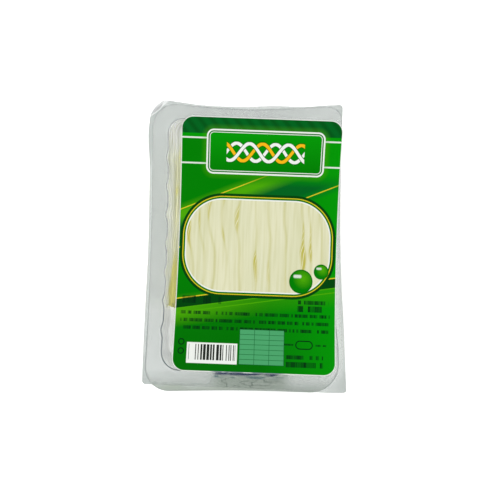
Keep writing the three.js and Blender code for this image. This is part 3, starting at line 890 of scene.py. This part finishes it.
def bend_corner(x, y, z, depth):
    """Points at a depth in the film, whose top left corner is turned down along the crease."""
    past = np.maximum(0, past_crease(x, y))
    angle, roundness = CREASE["angle"], CREASE["roundness"]
    turned = np.minimum(past / roundness, angle)
    straight = np.maximum(0, past - roundness * angle)
    out = (roundness - depth) * np.sin(turned) + straight * math.cos(angle)
    down = roundness * (1 - np.cos(turned)) + straight * math.sin(angle) + depth * np.cos(turned)
    return np.stack([x + OUTWARD[0] * (out - past), y + OUTWARD[1] * (out - past), z - down], -1)


def make_film():
    (left, low), (right, _) = FILM["bottom"]
    width, length = right - left, FILM["top"][0][1] - low
    columns = along_edge(width, near=18, count=50, fine=40) / width
    rows = along_edge(length, near=18, count=70, fine=40)
    across, distance = np.meshgrid(columns, rows)
    right = corner_inset(np.minimum(distance, length - distance), FILM["corner"])
    left = corner_inset(distance, FILM["corner"]) + corner_inset(length - distance, FILM["bent_corner"])
    flat = film_outline(across, distance / length, left, right)
    x, y = flat[..., 0], flat[..., 1]
    z = film_level(x, y)
    upper, lower = (pack_points(bend_corner(x, y, z, depth)) for depth in (0, FILM["thickness"]))
    piece = make_object("lid_film_sheet", *sheet(upper, lower), film_material())
    # Painted highlights speckle the top edge, most around its middle.
    top_edge = smooth_step((y - 95.4) / 1.6) * (0.35 + 0.65 * np.exp(-(((x + 8) / 24) ** 2)))
    # A painted highlight runs along the crease, more widely at its upper end. Its middle curves inwards.
    upper_end = smooth_step((x + y - 36) / 8)
    past = past_crease(x, y) + 1.3 * np.exp(-(((x + y - 33) / 8) ** 2))
    fold = np.exp(-(((past - 0.3 - 0.3 * upper_end) / (0.35 + 1.6 * upper_end)) ** 4))
    outer = smooth_step(past_rim(x, y) / 0.6 + 0.9)
    for name, values in (
        ("sealed", smooth_step(past_mouth(x, y) / 0.8)),
        ("foot", foot_shade(x, y) * (1 - outer)),
        ("outer", outer),
        ("free", smooth_step(past_rim(x, y) / 6)),
        ("flap", smooth_step((past - 0.4) / 0.5)),
        ("rough", top_edge),
        ("fold", fold),
    ):
        store(piece, name, np.tile(values.ravel(), 2))
    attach(piece, "root")
    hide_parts("lid_film")


def make_label():
    columns = along_edge(1, near=0.06, count=40, fine=8)
    rows = along_edge(LABEL["length"], near=LABEL["corner"], count=90, fine=14)
    across, distance = np.meshgrid(columns, rows)
    up = distance / LABEL["length"]
    inset = corner_inset(np.minimum(distance, LABEL["length"] - distance), LABEL["corner"])
    left = -LABEL["width"] / 2 + inset
    full = LABEL["width"] - 2 * inset
    drawn = 4 * up * (1 - up)
    bows = LABEL["left_bow"] + LABEL["right_bow"]
    x = left + LABEL["left_bow"] * drawn + (full - bows * drawn) * across
    y = distance - LABEL["length"] / 2
    turn = LABEL["turn"]
    px = LABEL["centre"][0] + x * math.cos(turn) - y * math.sin(turn)
    py = LABEL["centre"][1] + x * math.sin(turn) + y * math.cos(turn)
    pz = film_level(px, py) + LABEL_GAP
    upper, lower = (pack_points(np.stack([px, py, pz + over], -1)) for over in (LABEL["thickness"], 0))
    piece = make_object("printed_label", *sheet(upper, lower), label_material())
    printed = np.stack([left + full * across, y, np.zeros_like(y)], -1).reshape(-1, 3) * MM
    attribute = piece.data.attributes.new("print_place", "FLOAT_VECTOR", "POINT")
    attribute.data.foreach_set("vector", np.tile(printed, (2, 1)).ravel())
    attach(piece, "root")
    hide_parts("label")


# ---- the cheese ----


def rope_path(plait, rope, along):
    """The middle of a plait's rope, and how full it is, at distances from the plait's top end."""
    length = PLAIT["top"] - PLAIT["ends"][plait]
    phase = 2 * math.pi * (along / PLAIT["period"] + rope / 3 + plait * PLAIT["offset"])
    uneven = 1 + PLAIT["unevenness"] * np.sin(along / 9 + rope * 2.1 + plait * 1.3)
    from_end = np.clip(np.minimum(along, length - along) / 10, 0, 1)
    full = np.sqrt(1 - (1 - from_end) ** 2 * 0.7)
    middle = np.stack([
        (plait - 1) * PLAIT["spacing"] + PLAIT["sway"] * np.sin(phase) * (0.4 + 0.6 * full),
        PLAIT["top"] - along,
        PLAIT["middle_height"] + PLAIT["weave"] * np.sin(2 * phase) * full,
    ], 1)
    return middle, uneven * full


def tube(path, radius, sides):
    """A closed tube along a path of points, with a radius for each point."""
    tangent = np.gradient(path, axis=0)
    tangent /= np.linalg.norm(tangent, axis=1)[:, None]
    across = np.cross(tangent, [0, 0, 1])
    across /= np.linalg.norm(across, axis=1)[:, None]
    other = np.cross(tangent, across)
    angle = np.linspace(0, 2 * math.pi, sides, endpoint=False)[None, :, None]
    ring = across[:, None] * np.cos(angle) + other[:, None] * np.sin(angle)
    return (path[:, None] + ring * radius[:, None, None]).reshape(-1, 3)


# A tube with a radius over the thick one has more sides.
STRING = dict(count=24, radius=0.95, step=2.4, sides=6, thick=2.5, thick_sides=14)
# Flecks of painted yellow shade: middle across, middle along and half length.
YELLOW_SHADE_FLECKS = ((-45.4, 63.5, 4.6), (-46.8, 37.5, 3.5))


def rope_strings(plait, rope, draw):
    """Tubes for one rope: strings twisted round its skin, over a core of the same cheese."""
    length = PLAIT["top"] - PLAIT["ends"][plait]
    tubes = []
    for string in range(STRING["count"]):
        start, stop = draw(-1.5, 2.5), length - draw(-1.5, 3.5)
        along = np.arange(max(0.0, start), min(length, stop), STRING["step"])
        middle, full = rope_path(plait, rope, along)
        angle = 2 * math.pi * (string + draw(-0.25, 0.25)) / STRING["count"]
        angle = angle + along * draw(0.016, 0.024) + 0.12 * np.sin(along / draw(6, 14))
        radius = STRING["radius"] * draw(0.7, 1.25)
        reach = draw(0.93, 1.02) + 0.03 * np.sin(along / draw(5, 12) + string)
        path = middle.copy()
        path[:, 0] += (PLAIT["half_width"] - radius) * np.cos(angle) * full * reach
        path[:, 2] += (PLAIT["half_height"] - radius) * np.sin(angle) * full * reach
        ends = np.minimum(1, 0.45 + np.minimum(along - along[0], along[-1] - along) / 4)
        tubes.append((path, radius * ends * (1 + 0.12 * np.sin(along / 3.1 + string * 1.7))))
    along = np.arange(1.5, length - 1.5, STRING["step"])
    middle, full = rope_path(plait, rope, along)
    tubes.append((middle, 0.72 * PLAIT["half_height"] * full))
    return tubes


def yellow_shade_share(points):
    """How much painted yellow shade it takes: most in a wedge at the left skein's lower end, some above it,
    and in flecks.
    """
    x, y = points[:, 0], points[:, 1]
    start = -46.8 - 2.8 * smooth_step((12 - y) / 34) - 1.4 * smooth_step((-18 - y) / 14)
    wedge = smooth_step((x - start) / 1.4 + 0.35) * smooth_step((8 - y) / 24) * (x < -36)
    inner = 0.34 * smooth_step((x + 50.6) / 3.2) * smooth_step((66 - y) / 10) * (x < -36)
    flecks = [
        0.55 * np.exp(-(((x - cx) / 0.9) ** 2)) * np.exp(-(((y - cy) / half) ** 4))
        for cx, cy, half in YELLOW_SHADE_FLECKS
    ]
    return np.clip(np.maximum(wedge, inner) + sum(flecks), 0, 1)


def make_strings(name, tubes, material):
    vertices, faces, first = [], [], 0
    for path, radius in tubes:
        sides = STRING["thick_sides" if radius.max() > STRING["thick"] else "sides"]
        ring = tube(path, radius, sides)
        faces += loft_faces(len(path), sides, first)
        first += len(ring)
        vertices.append(ring)
    points = np.concatenate(vertices)
    piece = make_object(name, pack_points(points), faces, material)
    store(piece, "ripe", yellow_shade_share(points))
    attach(piece, "root")
    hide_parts("cheese")


def wall_place(z, y, fluted):
    """The distance of a long wall's inner face from the middle, at heights z and places y."""
    half_width, top, bottom, (_, top_corner, bottom_corner, _) = MOUTH_OUTLINE
    share = (TRAY["height"] - z) / INNER_DEPTH
    place, half_length = y - (top + bottom) / 2, (top - bottom) / 2
    inset = side_inset(place / half_length, 1 - share / 2)
    flute = fluted * flute_bulge(place) * (1 - 0.5 * share)
    near = half_length - TRAY["end_lean"] * share - np.abs(place)
    corner = corner_inset(np.maximum(near, 0.2), np.where(place > 0, top_corner, bottom_corner))
    return half_width - TRAY["side_lean"] * share - inset + flute - corner


def around(share):
    """Shares inward and upward of a place on a skein's outline, evenly round a softened square."""
    side, along = divmod(share % 1 * 4, 1)
    soft = 0.03 * (1 - math.sin(math.pi * along)) ** 3
    return ((along, 1 - soft), (1 - soft, 1 - along), (1 - along, soft), (soft, along))[int(side)]


def skein_width(y, end):
    """How wide a skein is at places y along it: narrow near its lower end."""
    return SKEIN["narrow"] + (SKEIN["width"] - SKEIN["narrow"]) * smooth_step((y - end) / 55)


def skein_path(side, end, y, inward, upward, gap, sag, waver=0.0, sway=0.0):
    """A path down a skein, at shares inward from the wall and upward. Its lower end sags."""
    z = SKEIN["low"] + upward * (SKEIN["high"] - SKEIN["low"]) + waver
    z = z - sag * smooth_step((end + 6 - y) / 10) * upward
    x = side * (wall_place(z, y, (1 - inward) ** 2) - gap - inward * skein_width(y, end) + sway)
    return np.stack([x, y, z], 1)


def skein_strings(side, draw):
    """A skein of loose strings, pressed flat between an outer plait, the long wall and the lid."""
    tubes = []
    end = SKEIN["ends"][0 if side < 0 else 1]
    for string in range(SKEIN["count"] + SKEIN["inner"]):
        inward, upward = around((string + draw(-0.2, 0.2)) / SKEIN["count"])
        if string >= SKEIN["count"]:
            inward, upward = draw(0.15, 0.85), draw(0.3, 0.9)
        top = SKEIN["top"] - 3 * (1 - upward) - draw(0, 0.7)
        low = end - 3.2 * inward + draw(-1.2, 1.4)
        y = np.arange(top, low, -STRING["step"])
        waver = draw(0.1, 0.3) * np.sin(y / draw(7, 15) + draw(0, 6))
        radius = SKEIN["radius"] * draw(0.8, 1.25)
        sway = 0.25 * np.sin(y / draw(9, 19) + draw(0, 6)) * inward
        path = skein_path(side, end, y, inward, upward, radius + 0.12, 2.5, waver, sway)
        ends = np.minimum(1, 0.5 + np.minimum((top - y) / 2, (y - low) / 5))
        tubes.append((path, radius * np.maximum(0.35, ends)))
    # The pressed middle of the skein, as four thick strands under the fine ones.
    y = np.arange(SKEIN["top"] - 3, end + 1, -STRING["step"])
    for inward, upward in ((0.27, 0.75), (0.73, 0.75), (0.27, 0.27), (0.73, 0.27)):
        path = skein_path(side, end, y, inward, upward, gap=0.3, sag=2)
        tubes.append((path, skein_width(y, end) * 0.25))
    return tubes


def make_cheese():
    draw = random.Random(SEED).uniform
    material = cheese_material()
    for plait, name in enumerate(("plait_left", "plait_middle", "plait_right")):
        tubes = [t for rope in range(3) for t in rope_strings(plait, rope, draw)]
        make_strings(name, tubes, material)
    for side, name in ((-1, "skein_left"), (1, "skein_right")):
        make_strings(name, skein_strings(side, draw), material)


# ---- camera, lights and floor ----

PHOTO = dict(size=500, pack_middle=(244.5, 247.1), mm_per_pixel=0.68)
SENSOR = 36
FLOOR_HALF = 4
# From the sine of a direction's height to the world's brightness there.
WORLD = {"From Min": 0.8, "From Max": 0.96, "To Min": 1.05, "To Max": 0.08}
VIEW = dict(distance=950, elevation=math.radians(85), roll=math.radians(1.25))


def make_camera():
    rise, roll = VIEW["elevation"], VIEW["roll"]
    forward = Vector((0, math.cos(rise), -math.sin(rise)))
    right, up = Vector((1, 0, 0)), Vector((0, math.sin(rise), math.cos(rise)))
    right, up = right * math.cos(roll) + up * math.sin(roll), up * math.cos(roll) - right * math.sin(roll)
    scale = PHOTO["mm_per_pixel"] * MM
    shift_x = (PHOTO["size"] / 2 - PHOTO["pack_middle"][0]) * scale
    shift_y = (PHOTO["pack_middle"][1] - PHOTO["size"] / 2) * scale
    aim = TRAY_MIDDLE + Vector((0, 0, TRAY["height"] * MM)) + right * shift_x + up * shift_y
    data = bpy.data.cameras.new("camera")
    data.sensor_width = SENSOR
    data.lens = SENSOR * VIEW["distance"] / (PHOTO["size"] * PHOTO["mm_per_pixel"])
    camera = add_object("camera", data)
    turn = Matrix((right, up, -forward)).transposed().to_4x4()
    camera.matrix_world = Matrix.Translation(aim - forward * VIEW["distance"] * MM) @ turn
    bpy.context.scene.camera = camera


def make_light(name, place, power, size):
    data = bpy.data.lights.new(name, "AREA")
    data.energy = power
    data.size = size
    light = add_object(name, data)
    light.location = place
    light.visible_glossy = False
    light.rotation_euler = (-Vector(place)).to_track_quat("-Z", "Y").to_euler()


def make_floor():
    paint = Paint("floor")
    tone = paint.mix(paint.noise(3), colour(244, 245, 244), colour(247, 248, 247))
    paint.set(Base_Color=tone, Roughness=0.9, Emission_Color=(1, 1, 1, 1), Emission_Strength=0.4)
    signs = ((-1, -1), (1, -1), (1, 1), (-1, 1))
    corners = [(x * FLOOR_HALF, y * FLOOR_HALF, 0) for x, y in signs]
    floor = make_object("floor", corners, [(0, 1, 2, 3)], paint.material, smooth=False)


def make_world():
    """A pale studio all round, dark straight above, where the camera's rig hangs."""
    world = bpy.data.worlds.new("studio")
    sky = Nodes(world)
    direction = sky.node("ShaderNodeTexCoord").outputs["Generated"]
    height = sky.node("ShaderNodeSeparateXYZ", {0: direction}).outputs["Z"]
    inputs = {"Value": height, **WORLD}
    overhead = sky.node("ShaderNodeMapRange", inputs, interpolation_type="SMOOTHSTEP")
    background = sky.nodes["Background"].inputs
    sky.feed(background["Color"], (1, 1, 1, 1))
    sky.feed(background["Strength"], overhead.outputs[0])
    bpy.context.scene.world = world


def make_surroundings():
    bpy.context.scene.view_settings.view_transform = "Standard"
    make_world()
    make_light("key", (-0.7, 0.5, 1.1), 4, 0.7)
    make_light("fill", (0.8, -0.4, 1.0), 2.5, 0.9)
    make_floor()


make_camera()
make_surroundings()
make_tray()
make_cheese()
make_film()
make_label()
